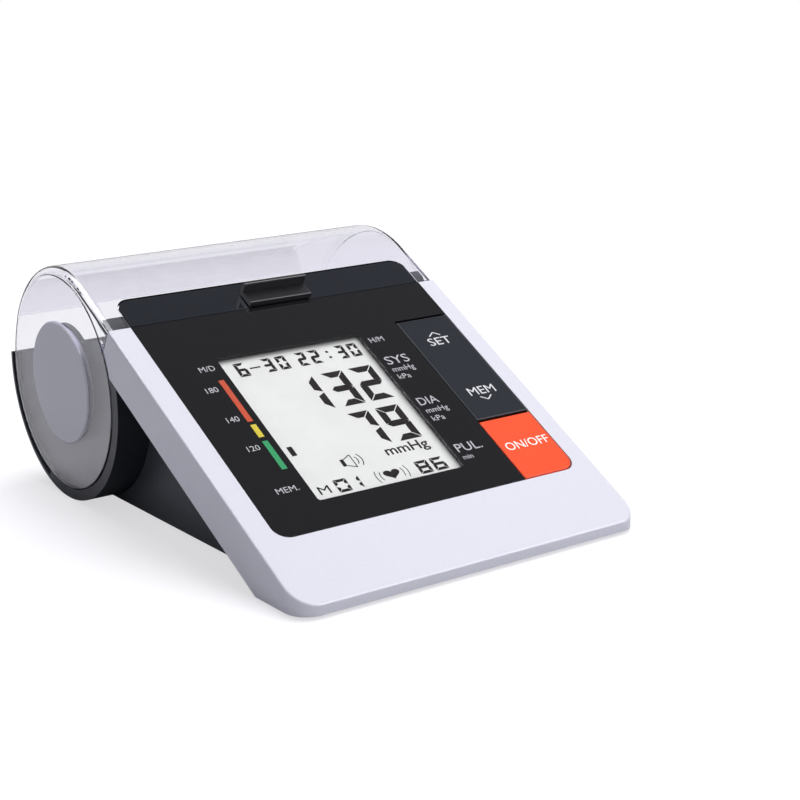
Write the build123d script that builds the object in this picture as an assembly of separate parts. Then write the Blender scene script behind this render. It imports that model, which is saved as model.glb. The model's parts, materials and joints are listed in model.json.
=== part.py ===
from build123d import *
import math
import os

os.makedirs("parts", exist_ok=True)

# Upper arm blood pressure monitor with a clear drum lid over its cuff compartment.
# Millimetres, +Z up, front towards -Y. The origin is under the middle of the case.
# "s" is a distance up the sloping face from its front edge, "n" is a height above the face.

# Case
case_width = 150.0
face_angle = 29.28
lip_height = 4.7
foot_height = 1.0
skirt_depth = 16.8
corner_radius = 9.0
edge_radius = 1.0
frame_wall = 2.0
frame_plate = 3.0
tub_inset = 13.8
tub_front = 22.0
tub_wall = 2.0
floor_thickness = 2.4
shoulder_thickness = 2.2
seam_gap = 0.3

# Glossy display panel
panel_left_margin = 9.35
panel_right_margin = 8.24
panel_front = 30.2
panel_thickness = 1.8
panel_corner = 6.0
panel_gap = 0.15
ledge_width = 2.5

# Display window, placed by its margins from the panel's edges and the keys
window_length = 77.7
window_left_margin = 23.56
window_right_margin = 19.48
window_front_margin = 12.84
window_back_margin = 23.7
window_corner = 1.2
pane_thickness = 1.0
glass_border = 3.0
glass_thickness = 2.8
glass_gap = 0.1

# Dark strip behind the panel, and the lid's cut-out round it
crease_gap = 0.3
strip_depth = 14.8
strip_thickness = 2.0
strip_corner = 5.5
strip_side_gap = 0.3
cutout_gap = 0.8
cutout_side_gap = 0.1
cutout_corner = 6.0

# Drum that the clear lid turns about. It touches the plane of the face and stands just off the table.
lid_flat = 8.2
table_gap = 0.2
lid_wall = 1.8
lid_gap = 0.4
trough_wall = 1.3
trough_top_angle = 4.7
lid_back_angle = 27.0
lid_travel = 90.0
slot_margin = 5.0
lid_edge_radius = 3.0
leg_depth = 8.0
disc_margin = 3.0
disc_thickness = 2.0
disc_proud = 0.4
disc_edge = 0.3
end_wall = 2.0
end_wall_inset = 3.8
end_wall_gap = 0.5
rim_slope = 13.9
rim_back_rise = 2.9
flange_gap = 0.5

# Hub caps
journal_radius = 22.2
journal_clearance = 0.08
boss_rim = 0.8
cap_overlap = 2.0
cap_thickness = 1.0
cap_proud = 1.0
cap_edge = 0.4

# Finger tab on the lid
latch_width = 28.0
latch_web = 15.4
latch_blade = 1.8
latch_back_gap = 6.9
latch_height = 6.5
latch_low = 0.5
latch_front_gap = 0.25
latch_lip_thickness = 2.3

# Keys
key_width = 25.2
key_column_rise = 3.0
power_key_length = 32.4
key_split = 0.6
key_back_gap = 0.8
key_gap = 0.35
key_cap = 2.8
key_proud = 0.2
key_travel = 0.7
key_lip = 1.3
stem_radius = 2.5
stem_clearance = 0.08
tip_radius = 1.5
axle_radius = 0.75
axle_clearance = 0.05
axle_depth = 4.8
rocker_end = 6.85
ear_inset = 2.6
ear_thickness = 2.0
lug_step = 3.0
lug_thickness = 2.4
lug_radius = 2.2
ear_radius = 1.6

# Circuit board
board_depth = 9.9
board_thickness = 1.6
board_edge = 2.2
post_radius = 2.2
post_out = 0.6
post_front = 2.8
post_back = 16.7
board_shoulder_back = 8.7
board_back_rise = 7.3
switch_size = 6.0
switch_height = 3.5
switch_well = 2.1
switch_floor = 0.85
chip_size = 14.0
chip_height = 1.4
sensor_size = 12.0
sensor_height = 4.5
buzzer_radius = 6.0
buzzer_height = 3.0

# Batteries
cell_radius = 7.1
cell_length = 50.5
cell_count = 4
cell_gap = 0.4
contact_room = 4.75
bay_side_gap = 1.0
bay_wall = 1.6
bay_drum_gap = 5.0
door_thickness = 1.8
door_recess = 0.2
door_gap = 0.4
door_pin_radius = 0.7
door_pin_clearance = 0.06
door_pin_length = 1.6
contact_thickness = 0.4
contact_half = 5.6

# Air parts
motor_radius = 10.0
motor_length = 27.0
motor_edge = 1.2
head_width = 20.0
head_length = 17.0
cradle_thickness = 1.0
pump_drum_gap = 4.0
pump_side_gap = 4.0
tube_radius = 2.2
nozzle_radius = 1.5
nozzle_length = 4.0
tee_gap = 10.0
tee_reach = 5.0
tee_leg = 4.6
tee_body = 2.8
valve_height = 4.2
socket_bore = 2.3
socket_bore_depth = 11.0
socket_proud = 0.8
socket_flange = 6.5
socket_body = 4.6
socket_height = 27.0
socket_nozzle = 7.0
inlet_bore = 2.8
inlet_depth = 9.0
inlet_mouth = 4.5
inlet_proud = 0.3
inlet_body = 4.0
inlet_back = 72.0
inlet_height = 13.5
inlet_flange = 5.0
inlet_pin = 1.05

# Feet and screws
foot_radius = 5.0
foot_pocket = 1.2
foot_side_gap = 17.2
foot_front = 20.0
foot_rear_gap = 29.2
screw_head = 2.8
screw_shank = 1.3
screw_room = 0.2
boss_radius = 3.0
front_screw_inset = 19.0
front_screw_back = 17.4
rear_screw_out = 3.4
rear_screw_rise = 1.3
screw_sink = 1.2
hair = 0.02
notch_half = 9.0
notch_length = 6.0
notch_depth = 1.2

# Worked-out places
sine = math.sin(math.radians(face_angle))
cosine = math.cos(math.radians(face_angle))
half_width = case_width / 2
panel_left = -half_width + panel_left_margin
panel_right = half_width - panel_right_margin
key_left = panel_right - key_width
window_left = panel_left + window_left_margin
window_right = key_left - window_right_margin
window_front = panel_front + window_front_margin
window_back = window_front + window_length
face_length = window_back + window_back_margin
key_column_back = window_back + key_column_rise
power_key_back = panel_front + power_key_length
rocker_front = power_key_back + key_split
rocker_back = key_column_back - key_back_gap
rocker_pivot = (rocker_front + rocker_back) / 2
rocker_arm = (rocker_back - rocker_front) / 2 - rocker_end
key_middle = (key_left + panel_right) / 2
power_middle = (panel_front + power_key_back) / 2
ear_x = key_width / 2 - ear_inset
strip_front = face_length + crease_gap
strip_back = strip_front + strip_depth
cutout_back = strip_back + cutout_gap
cutout_left = panel_left - cutout_side_gap
cutout_right = panel_right + cutout_side_gap
tangent_s = cutout_back + lid_flat
trough_step = lid_gap + trough_wall
lid_radius = (lip_height + tangent_s * sine - table_gap - trough_step) / (1 + cosine)
lid_inner = lid_radius - lid_wall
trough_inner = lid_radius + lid_gap
trough_outer = lid_radius + trough_step
disc_radius = lid_radius - disc_margin
band_radius = disc_radius - 0.7
cap_radius = journal_radius + cap_overlap
drum_height = table_gap + trough_outer
drum_back = tangent_s * cosine + lid_radius * sine
front_y = -(drum_back + trough_outer) / 2
axis_y = front_y + drum_back
end_wall_outer = half_width - end_wall_inset
end_wall_inner = end_wall_outer - end_wall
end_wall_radius = lid_inner - end_wall_gap
slot_end = lid_back_angle - lid_travel - slot_margin
tub_half = half_width - tub_inset
floor_top = foot_height + floor_thickness
tub_top = -skirt_depth + shoulder_thickness
bend_s = (floor_top - lip_height - tub_top * cosine) / sine
latch_half = latch_width / 2
web_half = latch_web / 2
latch_blade_s = cutout_back - latch_back_gap - latch_blade
latch_lip_front = strip_front + latch_front_gap
cell_height = foot_height + door_recess + door_thickness + 0.3 + cell_radius
cell_pitch = 2 * cell_radius + cell_gap
bay_length = cell_length + 2 * contact_room
bay_width = cell_pitch * (cell_count - 1) + 2 * (cell_radius + bay_side_gap)
bay_roof = cell_height + cell_radius + 0.1
bay_top = bay_roof + bay_wall
bay_drum_reach = math.sqrt((trough_outer + bay_drum_gap) ** 2 - (drum_height - bay_top) ** 2)
bay_back = axis_y - bay_drum_reach - bay_wall
bay_front = bay_back - bay_width
pump_z = bay_top + cradle_thickness + motor_radius
pump_drum_reach = math.sqrt((trough_outer + pump_drum_gap) ** 2 - (drum_height - pump_z) ** 2)
pump_y = axis_y - pump_drum_reach - motor_radius
pump_left = -tub_half + tub_wall + pump_side_gap
pump_right = pump_left + motor_length + head_length
tee_x = pump_right + tee_gap
valve_top = bay_top + valve_height
lot = 200.0


def slope(s, n):
    """Side-view point that lies s up the face and n above it."""
    return (front_y + s * cosine - n * sine, lip_height + s * sine + n * cosine)


def around(radius, angle):
    """Side-view point on a circle about the drum axis, 0 at the back, 90 at the top."""
    turn = math.radians(angle)
    return (axis_y + radius * math.cos(turn), drum_height + radius * math.sin(turn))


def prism(points, x0, x1):
    """Side-view outline pushed through from x0 to x1."""
    return Pos(x0, 0, 0) * extrude(Plane.YZ * Polygon(*points, align=None), amount=x1 - x0, dir=(1, 0, 0))


def both(points, x0, x1):
    """The same prism on the left and on the right."""
    return prism(points, x0, x1) + prism(points, -x1, -x0)


def drum(radius, x0, x1):
    """Cylinder on the drum axis from x0 to x1."""
    return Pos((x0 + x1) / 2, axis_y, drum_height) * Rot(0, 90, 0) * Cylinder(radius, x1 - x0)


def sector(start, stop):
    """Side-view outline of a wide wedge about the drum axis."""
    steps = max(2, math.ceil((stop - start) / 45))
    rim = [around(lot, start + (stop - start) * i / steps) for i in range(steps + 1)]
    return [around(0, 0)] + rim


face_plane = Plane(origin=(0, front_y, lip_height), x_dir=(1, 0, 0), z_dir=(0, -sine, cosine))


def on_face(shape, n=0.0):
    """Move a sketch or solid drawn flat (x, s) onto the sloping face, n above it."""
    return face_plane.location * Pos(0, 0, n) * shape


def face_box(x0, x1, s0, s1, n0, n1):
    block = Pos((x0 + x1) / 2, (s0 + s1) / 2, (n0 + n1) / 2) * Box(x1 - x0, s1 - s0, n1 - n0)
    return face_plane.location * block


def face_rod(x, s, n0, n1, radius):
    """Cylinder square to the face, from n0 to n1."""
    return face_plane.location * Pos(x, s, (n0 + n1) / 2) * Cylinder(radius, n1 - n0)


def rod_x(x0, x1, y, z, radius):
    return Pos((x0 + x1) / 2, y, z) * Rot(0, 90, 0) * Cylinder(radius, x1 - x0)


def rod_z(x, y, z0, z1, radius):
    return Pos(x, y, (z0 + z1) / 2) * Cylinder(radius, z1 - z0)


def block(x0, x1, y0, y1, z0, z1):
    return Pos((x0 + x1) / 2, (y0 + y1) / 2, (z0 + z1) / 2) * Box(x1 - x0, y1 - y0, z1 - z0)


def rounded_rectangle(x0, x1, s0, s1, front_radius, back_radius):
    """Flat outline with its own corner radii at the front and at the back."""
    sheet = Pos((x0 + x1) / 2, (s0 + s1) / 2) * Rectangle(x1 - x0, s1 - s0)
    middle = (s0 + s1) / 2
    if front_radius:
        sheet = fillet([v for v in sheet.vertices() if v.Y < middle], front_radius)
    if back_radius:
        sheet = fillet([v for v in sheet.vertices() if v.Y > middle], back_radius)
    return sheet


def plate(sheet, n0, n1):
    """Sheet drawn on the face, filled from n0 to n1."""
    return on_face(extrude(sheet, amount=n1 - n0, dir=(0, 0, 1)), n0)


def plan_prism(half, y0, radius):
    """Tall block with rounded front corners, seen from above, that trims a shape to the case's plan."""
    sheet = rounded_rectangle(-half, half, y0, y0 + 2 * lot, radius, 0)
    return Pos(0, 0, -lot / 2) * extrude(sheet, amount=2 * lot, dir=(0, 0, 1))


def skirt_foot():
    """How far up the slope the skirt's lower edge leaves the table line."""
    return (foot_height - lip_height + skirt_depth * cosine) / sine


def face_height(shape_point):
    """Height of a point above the face."""
    return (shape_point.Z - lip_height) * cosine - (shape_point.Y - front_y) * sine


def opening_in_face(grow, front_radius):
    """Outline of the panel and key area, grown by a gap, open towards the strip."""
    return rounded_rectangle(
        panel_left - grow, panel_right + grow, panel_front - grow, tangent_s, front_radius, 0
    )


def make_face_frame():
    """Silver frame: sloping plate with skirts, open at the strip."""
    outline = [
        slope(0, 0),
        slope(face_length, 0),
        slope(face_length, -skirt_depth),
        slope(skirt_foot(), -skirt_depth),
        (front_y, foot_height),
    ]
    body = prism(outline, -half_width, half_width)
    body = body & plan_prism(half_width, front_y, corner_radius)
    rim = []
    for edge in body.edges():
        ends = [abs(face_height(v)) < 0.01 for v in edge.vertices()]
        if all(ends) and edge.center().Y < slope(face_length, 0)[0] - 1:
            rim.append(edge)
    body = fillet(rim, edge_radius)
    hollow_outline = [
        (front_y + frame_wall, -10),
        (front_y + frame_wall, lip_height - frame_plate / cosine + frame_wall * sine / cosine),
        slope(tangent_s, -frame_plate),
        (axis_y, -10),
    ]
    hollow = prism(hollow_outline, -half_width + frame_wall, half_width - frame_wall)
    hollow = hollow & plan_prism(half_width - frame_wall, front_y + frame_wall, corner_radius - frame_wall)
    body -= hollow
    body -= plate(opening_in_face(panel_gap, panel_corner + panel_gap), -panel_thickness, 5)
    ledge_hole = rounded_rectangle(
        panel_left + ledge_width, panel_right - ledge_width,
        panel_front + ledge_width, tangent_s, panel_corner - ledge_width, 0,
    )
    body -= plate(ledge_hole, -frame_plate - 1, 1)
    key_hole = rounded_rectangle(
        key_left, panel_right + panel_gap, panel_front - panel_gap, key_column_back, 0, 0
    )
    corner = [v for v in key_hole.vertices() if v.X > key_middle and v.Y < rocker_front]
    key_hole = fillet(corner, panel_corner - 0.5)
    body -= plate(key_hole, -frame_plate - 1, 1)
    body -= drum(disc_radius + flange_gap, -half_width - 1, half_width + 1)
    for x, s in frame_posts():
        body += face_rod(x, s, -board_depth, -frame_plate + 0.1, post_radius)
        body -= face_rod(x, s, -board_depth - 1, -board_depth + 5, screw_shank)
    for x in rear_screws_x():
        body += face_rod(x, rear_screw_s(), tub_top, -frame_plate + 0.1, boss_radius)
        body -= face_rod(x, rear_screw_s(), tub_top - 1, tub_top + 8, screw_shank)
    above_plate = [slope(0, 0.1 - frame_plate), slope(face_length, 0.1 - frame_plate),
                   slope(face_length, lot), slope(0, lot)]
    for x in front_screws_x():
        boss = rod_z(x, front_screw_y(), floor_top, lot, boss_radius)
        boss -= prism(above_plate, -half_width, half_width)
        body += boss
        body -= rod_z(x, front_screw_y(), floor_top - 1, floor_top + 4.2, screw_shank)
    return body


def frame_posts():
    """Places of the posts that carry the circuit board, as (x, s)."""
    front = panel_front - post_front
    back = window_back - post_back
    inner = (window_left - post_out - post_radius, window_right + post_out + post_radius)
    outer = (panel_left - post_out, panel_right + post_out)
    return [(x, front) for x in inner] + [(x, back) for x in outer]


def rear_screws_x():
    return (panel_left - rear_screw_out, panel_right + rear_screw_out)


def rear_screw_s():
    return window_back + rear_screw_rise


def front_screws_x():
    return (-half_width + front_screw_inset, half_width - front_screw_inset)


def front_screw_y():
    return front_y + front_screw_back


def under_plate(height):
    """Distance back from the front at which the frame's underside clears a height."""
    return (height - lip_height + (frame_plate + seam_gap) / cosine) * cosine / sine


def tub_outline():
    """Side view of the dark tub that hangs below the frame."""
    return [
        (front_y + tub_front, foot_height),
        (axis_y, foot_height),
        slope(strip_front, tub_top),
        slope(skirt_foot(), tub_top),
    ]


def make_bottom_case():
    """Dark lower case: front floor, shoulder plate, wedge tub and battery bay."""
    inside = half_width - frame_wall - seam_gap
    front = front_y + frame_wall + seam_gap
    wide = [
        (front, foot_height),
        slope(skirt_foot(), -skirt_depth),
        slope(strip_front, -skirt_depth),
        slope(strip_front, tub_top),
        slope(bend_s, tub_top),
        (front_y + under_plate(floor_top), floor_top),
        (front, lip_height - (frame_plate + seam_gap) / cosine + (frame_wall + seam_gap) * sine / cosine),
    ]
    body = prism(wide, -inside, inside)
    body = body & plan_prism(inside, front, corner_radius - frame_wall - seam_gap)
    tub = prism(tub_outline(), -tub_half, tub_half)
    body += tub
    hollow = [
        (slope(bend_s, tub_top)[0] + tub_wall, floor_top),
        (axis_y + drum_height, floor_top),
        (axis_y + drum_height, lot),
        slope(bend_s, lot),
    ]
    body -= prism(hollow, -tub_half + tub_wall, tub_half - tub_wall)
    body -= drum(trough_outer + 0.15, -half_width - 1, half_width + 1)
    body += battery_bay()
    body -= block(-bay_length / 2, bay_length / 2, bay_front, bay_back, 0, bay_roof)
    pin_reach = bay_length / 2 + door_pin_length - door_gap + seam_gap
    body -= rod_x(-pin_reach, pin_reach, door_axis_y(), door_axis_height(), door_pin_radius + door_pin_clearance)
    body -= block(-notch_half, notch_half, bay_front - notch_length, bay_front + 1, 0, foot_height + notch_depth)
    for x, y in foot_places():
        body -= rod_z(x, y, foot_height - 1, foot_height + foot_pocket, foot_radius)
    for x in front_screws_x():
        body -= rod_z(x, front_screw_y(), 0, floor_top + 1, screw_shank + screw_room)
        body -= rod_z(x, front_screw_y(), 0, foot_height + screw_sink, screw_head + screw_room)
    for x in rear_screws_x():
        body -= face_rod(x, rear_screw_s(), -skirt_depth - 1, tub_top + 1, screw_shank + screw_room)
    body -= rod_x(tub_half - tub_wall - 1, tub_half + 1, pump_y, socket_height, socket_body + hair)
    body -= rod_x(tub_half - tub_wall - 1, tub_half + 1, front_y + inlet_back, inlet_height, inlet_body + hair)
    return body


def door_axis_y():
    return bay_back - door_gap - door_thickness / 2


def door_axis_height():
    return foot_height + door_recess + door_thickness / 2


def battery_bay():
    """Box that closes the battery bay off from the inside of the tub."""
    half = bay_length / 2 + bay_wall
    return block(-half, half, bay_front - bay_wall, bay_back + bay_wall, foot_height, bay_top)


def foot_places():
    side = tub_half - foot_side_gap
    return [(x, y) for x in (-side, side) for y in (front_y + foot_front, axis_y - foot_rear_gap)]


def make_feet():
    pads = [rod_z(x, y, 0, foot_height + foot_pocket, foot_radius) for x, y in foot_places()]
    return Compound(children=[Part() + pad for pad in pads])


def screw_face(x, s, n):
    """Pan-head screw square to the face, its head below n."""
    head = face_rod(x, s, n - 1.8, n, screw_head)
    return head + face_rod(x, s, n, n + 8.5, screw_shank - hair)


def make_case_screws():
    screws = []
    for x in front_screws_x():
        head = rod_z(x, front_screw_y(), foot_height, foot_height + screw_sink, screw_head)
        shank = rod_z(x, front_screw_y(), foot_height + screw_sink, floor_top + 4, screw_shank - hair)
        screws.append(head + shank)
    for x in rear_screws_x():
        screws.append(screw_face(x, rear_screw_s(), -skirt_depth))
    return Compound(children=screws)


def make_storage_trough():
    """Dark cuff trough: drum wall, end walls, outer end rings and the strip above the panel."""
    far = half_width
    wall = drum(trough_outer, -far, far) - drum(trough_inner, -far - 1, far + 1)
    front_angle = math.degrees(math.acos((lid_radius - strip_thickness - 0.3) / trough_inner))
    wall -= prism(sector(trough_top_angle, 90 + face_angle + front_angle), -far - 1, far + 1)
    beside_strip = above_slope(-lid_wall - lid_gap - 0.2)
    wall -= both(beside_strip, -panel_left - 0.6, far + 1)
    under_skirt = above_slope(-skirt_depth - seam_gap)
    inner_half = half_width - frame_wall - seam_gap
    wall -= both(under_skirt, inner_half, far + 1)
    for side in (-1, 1):
        x0, x1 = sorted((side * end_wall_inner, side * end_wall_outer))
        panel = drum(end_wall_radius, x0, x1)
        lower = drum(trough_outer - 0.3, x0, x1)
        lower = lower & prism(sector(-213.0, slot_end), x0, x1)
        panel += lower
        panel -= prism(rim_cut(), x0 - 1, x1 + 1)
        panel += drum(journal_radius + boss_rim, x0, x1)
        wall += panel
        r0, r1 = sorted((side * (end_wall_outer - 0.2), side * far))
        ring = drum(trough_outer, r0, r1) - drum(disc_radius + flange_gap, r0 - 1, r1 + 1)
        ring = ring & prism(sector(-200.0, slot_end), r0, r1)
        ring -= prism(under_skirt, r0 - 1, r1 + 1)
        wall += ring
    strip = rounded_rectangle(
        panel_left + strip_side_gap, panel_right - strip_side_gap,
        strip_front, strip_back, 0, strip_corner,
    )
    wall += plate(strip, -strip_thickness, 0)
    ledge_inset = ledge_width + 0.5
    ledge = rounded_rectangle(
        panel_left + ledge_inset, panel_right - ledge_inset, face_length - ledge_width, strip_front + ledge_width,
        0, 0,
    )
    wall += plate(ledge, -panel_thickness - strip_thickness, -panel_thickness)
    wall -= face_box(-web_half - 0.6, web_half + 0.6, latch_blade_s + latch_blade - 0.4, cutout_back,
                     -strip_thickness - 0.4, 1)
    return wall


def above_slope(height):
    """Side-view region above a line that runs along the face at one height, up to the lid's cut-out."""
    return [slope(bend_s, height), slope(strip_back, height), slope(strip_back, lot), slope(bend_s, lot)]


def rim_cut():
    """Side-view region above the sloping rim of the trough's end walls."""
    back = axis_y + trough_outer
    height = drum_height + rim_back_rise
    run = 3 * trough_outer
    return [
        (back + 10, height - 10 * math.tan(math.radians(rim_slope))),
        (back - run, height + run * math.tan(math.radians(rim_slope))),
        (back - run, lot),
        (back + 10, lot),
    ]


def lid_outline():
    """Side view of the lid's skin: flat front, then the drum curve, down to the back edge."""
    leg_top = slope(strip_front, 0)
    tangent = slope(tangent_s, 0)
    middle = around(lid_radius, (90 + face_angle + lid_back_angle) / 2)
    back = around(lid_radius, lid_back_angle)
    inner_back = around(band_radius, lid_back_angle)
    meet = 90 + face_angle + math.degrees(math.acos((lid_radius - leg_depth) / band_radius))
    inner_meet = around(band_radius, meet)
    inner_middle = around(band_radius, (meet + lid_back_angle) / 2)
    leg_low = slope(strip_front, -leg_depth)
    edges = [
        Line(leg_top, tangent),
        ThreePointArc(tangent, middle, back),
        Line(back, inner_back),
        ThreePointArc(inner_back, inner_middle, inner_meet),
        Line(inner_meet, leg_low),
        Line(leg_low, leg_top),
    ]
    return make_face(edges)


def lid_void():
    """Side view of the space under the lid's skin."""
    front = strip_front - leg_depth
    first = slope(front, -lid_wall)
    low = slope(front, -lid_radius / 2)
    tangent = slope(tangent_s, -lid_wall)
    stop_angle = lid_back_angle - slot_margin
    middle = around(lid_inner, (90 + face_angle + stop_angle) / 2)
    back = around(lid_inner, stop_angle)
    edges = [
        Line(first, tangent),
        ThreePointArc(tangent, middle, back),
        Line(back, around(0, 0)),
        Line(around(0, 0), low),
        Line(low, first),
    ]
    return make_face(edges)


def long_outer_edges(shape, half, curve_radius, depth):
    """Edges of the flat and curved skin where it turns into the end walls."""
    found = []
    for edge in shape.edges():
        middle = edge @ 0.5
        if abs(abs(middle.X) - half) > 0.01:
            continue
        flat = abs(face_height(middle) + depth) < 0.01 and edge.length > 5
        reach = math.hypot(middle.Y - axis_y, middle.Z - drum_height)
        curved = abs(reach - curve_radius) < 0.01 and edge.length > 10
        if flat or curved:
            found.append(edge)
    return found


def make_clear_lid():
    """Clear lid: drum skin with rounded long edges, side bands, legs and end discs."""
    skin = Pos(-half_width, 0, 0) * extrude(Plane.YZ * lid_outline(), amount=case_width, dir=(1, 0, 0))
    skin = fillet(long_outer_edges(skin, half_width, lid_radius, 0), lid_edge_radius)
    inner_half = half_width - lid_wall
    void = Pos(-inner_half, 0, 0) * extrude(Plane.YZ * lid_void(), amount=2 * inner_half, dir=(1, 0, 0))
    void = fillet(long_outer_edges(void, inner_half, lid_inner, lid_wall), lid_edge_radius - lid_wall)
    skin -= void
    cutout = rounded_rectangle(
        cutout_left, cutout_right, face_length - strip_depth, cutout_back, 0, cutout_corner
    )
    skin -= plate(cutout, -lid_radius / 2, 1)
    disc_outer = half_width + disc_proud
    for side in (-1, 1):
        x0, x1 = sorted((side * (disc_outer - disc_thickness), side * disc_outer))
        disc = drum(disc_radius, x0, x1)
        rim = [e for e in disc.edges() if abs(e.center().X) > disc_outer - 0.01]
        disc = chamfer(rim, disc_edge)
        skin += disc
        skin -= drum(journal_radius + journal_clearance, x0 - 1, x1 + 1)
        c0, c1 = sorted((side * (half_width + cap_proud - cap_thickness - 0.15), side * (disc_outer + 1)))
        skin -= drum(cap_radius + 0.2, c0, c1)
    return skin


def make_hub_cap(side):
    """Grey cap that the lid's disc turns on."""
    outer = half_width + cap_proud
    x0, x1 = sorted((side * (outer - cap_thickness), side * outer))
    cap = drum(cap_radius, x0, x1)
    rim = [e for e in cap.edges() if abs(e.center().X) > outer - 0.01]
    cap = chamfer(rim, cap_edge)
    j0, j1 = sorted((side * end_wall_outer, side * (outer - cap_thickness)))
    cap += drum(journal_radius, j0, j1)
    return cap


def make_lid_latch():
    """Black finger tab on the lid's front edge: blade, lip and the web to the lid."""
    blade = face_box(-latch_half, latch_half, latch_blade_s, latch_blade_s + latch_blade,
                     latch_low - 0.2, latch_height)
    top = [e for e in blade.edges() if face_height(e.center()) > latch_height - 0.01]
    blade = fillet([e for e in top if e.length > 5], 0.7)
    lip_top = latch_low + latch_lip_thickness
    lip_outline = [
        slope(latch_blade_s + 0.5, latch_low),
        slope(latch_blade_s + 0.5, lip_top - 0.5),
        slope(latch_lip_front, lip_top),
        slope(latch_lip_front, latch_low),
    ]
    lip = prism(lip_outline, -latch_half, latch_half)
    front = [e for e in lip.edges() if abs(e.length - latch_width) < 0.01]
    front = [e for e in front if face_height(e.center()) > lip_top - 0.1]
    lip = fillet(front, 0.5)
    web = face_box(-web_half, web_half, latch_blade_s + latch_blade - 0.3, cutout_back, 0.3 - lid_wall, 0)
    heel = face_box(-web_half, web_half, latch_blade_s + latch_blade - 0.1, latch_blade_s + latch_blade + 1.4,
                    0.3 - lid_wall, lip_top - 0.8)
    return blade + lip + heel + web


def panel_outline(gap):
    """Glossy panel: a rectangle with the key column cut out of its front right corner."""
    sheet = rounded_rectangle(
        panel_left + gap, panel_right - gap, panel_front + gap, face_length - gap, panel_corner, 0
    )
    keys = rounded_rectangle(key_left, panel_right + 20, panel_front - 20, key_column_back, 0, 0)
    window = rounded_rectangle(window_left, window_right, window_front, window_back,
                               window_corner, window_corner)
    return sheet - keys - window


def make_display_panel():
    return plate(panel_outline(0), -panel_thickness, 0)


def make_window_pane():
    sheet = rounded_rectangle(window_left, window_right, window_front, window_back,
                              window_corner, window_corner)
    return plate(sheet, -pane_thickness, 0)


def glass_top():
    return -panel_thickness - glass_gap


def make_lcd_glass():
    sheet = rounded_rectangle(window_left - glass_border, window_right + glass_border,
                              window_front - glass_border, window_back + glass_border, 0, 0)
    return plate(sheet, glass_top() - glass_thickness, glass_top())


def make_lcd_holder():
    """Moulded frame that holds the display off the board."""
    outer = rounded_rectangle(window_left - glass_border - 1.5, window_right + glass_border + 1.5,
                              window_front - glass_border - 1.5, window_back + glass_border + 1.5, 1.0, 1.0)
    inner = rounded_rectangle(window_left + 1.0, window_right - 1.0,
                              window_front + 1.0, window_back - 1.0, 1.0, 1.0)
    low = -board_depth
    seat = glass_top() - glass_thickness
    holder = plate(outer, low, seat + 1.5) - plate(inner, low - 1, seat + 3)
    holder -= plate(rounded_rectangle(
        window_left - glass_border - 0.1, window_right + glass_border + 0.1,
        window_front - glass_border - 0.1, window_back + glass_border + 0.1, 0, 0), seat, seat + 3)
    return holder


def make_main_board():
    front = panel_front - post_front - post_radius - 1
    left = panel_left - post_out - board_edge
    right = panel_right + post_out + board_edge
    wide = rounded_rectangle(left, right, front, window_back - board_shoulder_back, 2.0, 0)
    inset = rear_screw_out + boss_radius
    narrow = rounded_rectangle(
        panel_left + inset, panel_right - inset, window_front, window_back + board_back_rise, 0, 2.0
    )
    board = plate(wide + narrow, -board_depth - board_thickness, -board_depth)
    for x, s in frame_posts():
        board -= face_rod(x, s, -board_depth - 3, -board_depth + 1, screw_shank)
    chip_s = window_front + chip_size
    low = -board_depth - board_thickness
    chip = face_box(-chip_size, 0, chip_s, chip_s + chip_size, low - chip_height, low + 0.05)
    return board + chip


def make_board_screws():
    low = -board_depth - board_thickness
    screws = []
    for x, s in frame_posts():
        head = face_rod(x, s, low - 1.5, low, post_radius)
        screws.append(head + face_rod(x, s, low, -board_depth + 4.6, screw_shank - hair))
    return Compound(children=screws)


def switch_places():
    return [(key_middle, power_middle), (key_middle, rocker_pivot - rocker_arm),
            (key_middle, rocker_pivot + rocker_arm)]


def make_key_switches():
    """Three press switches, each with a round well that its key's tip presses into."""
    switches = []
    half = switch_size / 2
    top = -board_depth + switch_height
    for x, s in switch_places():
        body = face_box(x - half, x + half, s - half, s + half, -board_depth, top)
        body -= face_rod(x, s, -board_depth + switch_floor, top + 1, switch_well)
        switches.append(body)
    return Compound(children=switches)


def key_sheet(s0, s1, front_right):
    """Outline of a key cap, rounded at the panel's corner when it is the front one."""
    sheet = Pos((key_left + panel_right) / 2, (s0 + s1) / 2) * Rectangle(
        panel_right - key_left - 2 * key_gap, s1 - s0)
    if front_right:
        corner = [v for v in sheet.vertices() if v.X > key_middle and v.Y < (s0 + s1) / 2]
        sheet = fillet(corner, panel_corner - 0.6)
    return sheet


def soften_top(solid, radius):
    rim = []
    for edge in solid.edges():
        if all(abs(face_height(v) - key_proud) < 0.01 for v in edge.vertices()):
            rim.append(edge)
    return fillet(rim, radius)


def tip_depth():
    """Height of a key's tip, which stays just clear of the switch's floor when pressed."""
    return -board_depth + switch_floor + key_travel + 0.2


def lip_low():
    """Underside of the lip that keeps the power key from coming out."""
    return -frame_plate - key_lip


def make_power_key():
    cap = plate(key_sheet(panel_front + key_gap, power_key_back - key_gap, True),
                key_proud - key_cap, key_proud)
    cap = soften_top(cap, 0.5)
    lip = face_box(key_left + panel_corner, panel_right - panel_corner, panel_front - 1.2, panel_front + 2.5,
                   lip_low(), key_proud - key_cap + 0.1)
    lip -= face_box(key_left, panel_right, panel_front - 5, panel_front + key_gap, 0.0 - frame_plate - 0.3, 2)
    stem_low = -board_depth + switch_height + key_travel + 0.2
    stem = face_rod(key_middle, power_middle, stem_low, key_proud - key_cap + 0.1, stem_radius)
    tip = face_rod(key_middle, power_middle, tip_depth(), stem_low + 0.1, tip_radius)
    return cap + lip + stem + tip


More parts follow.
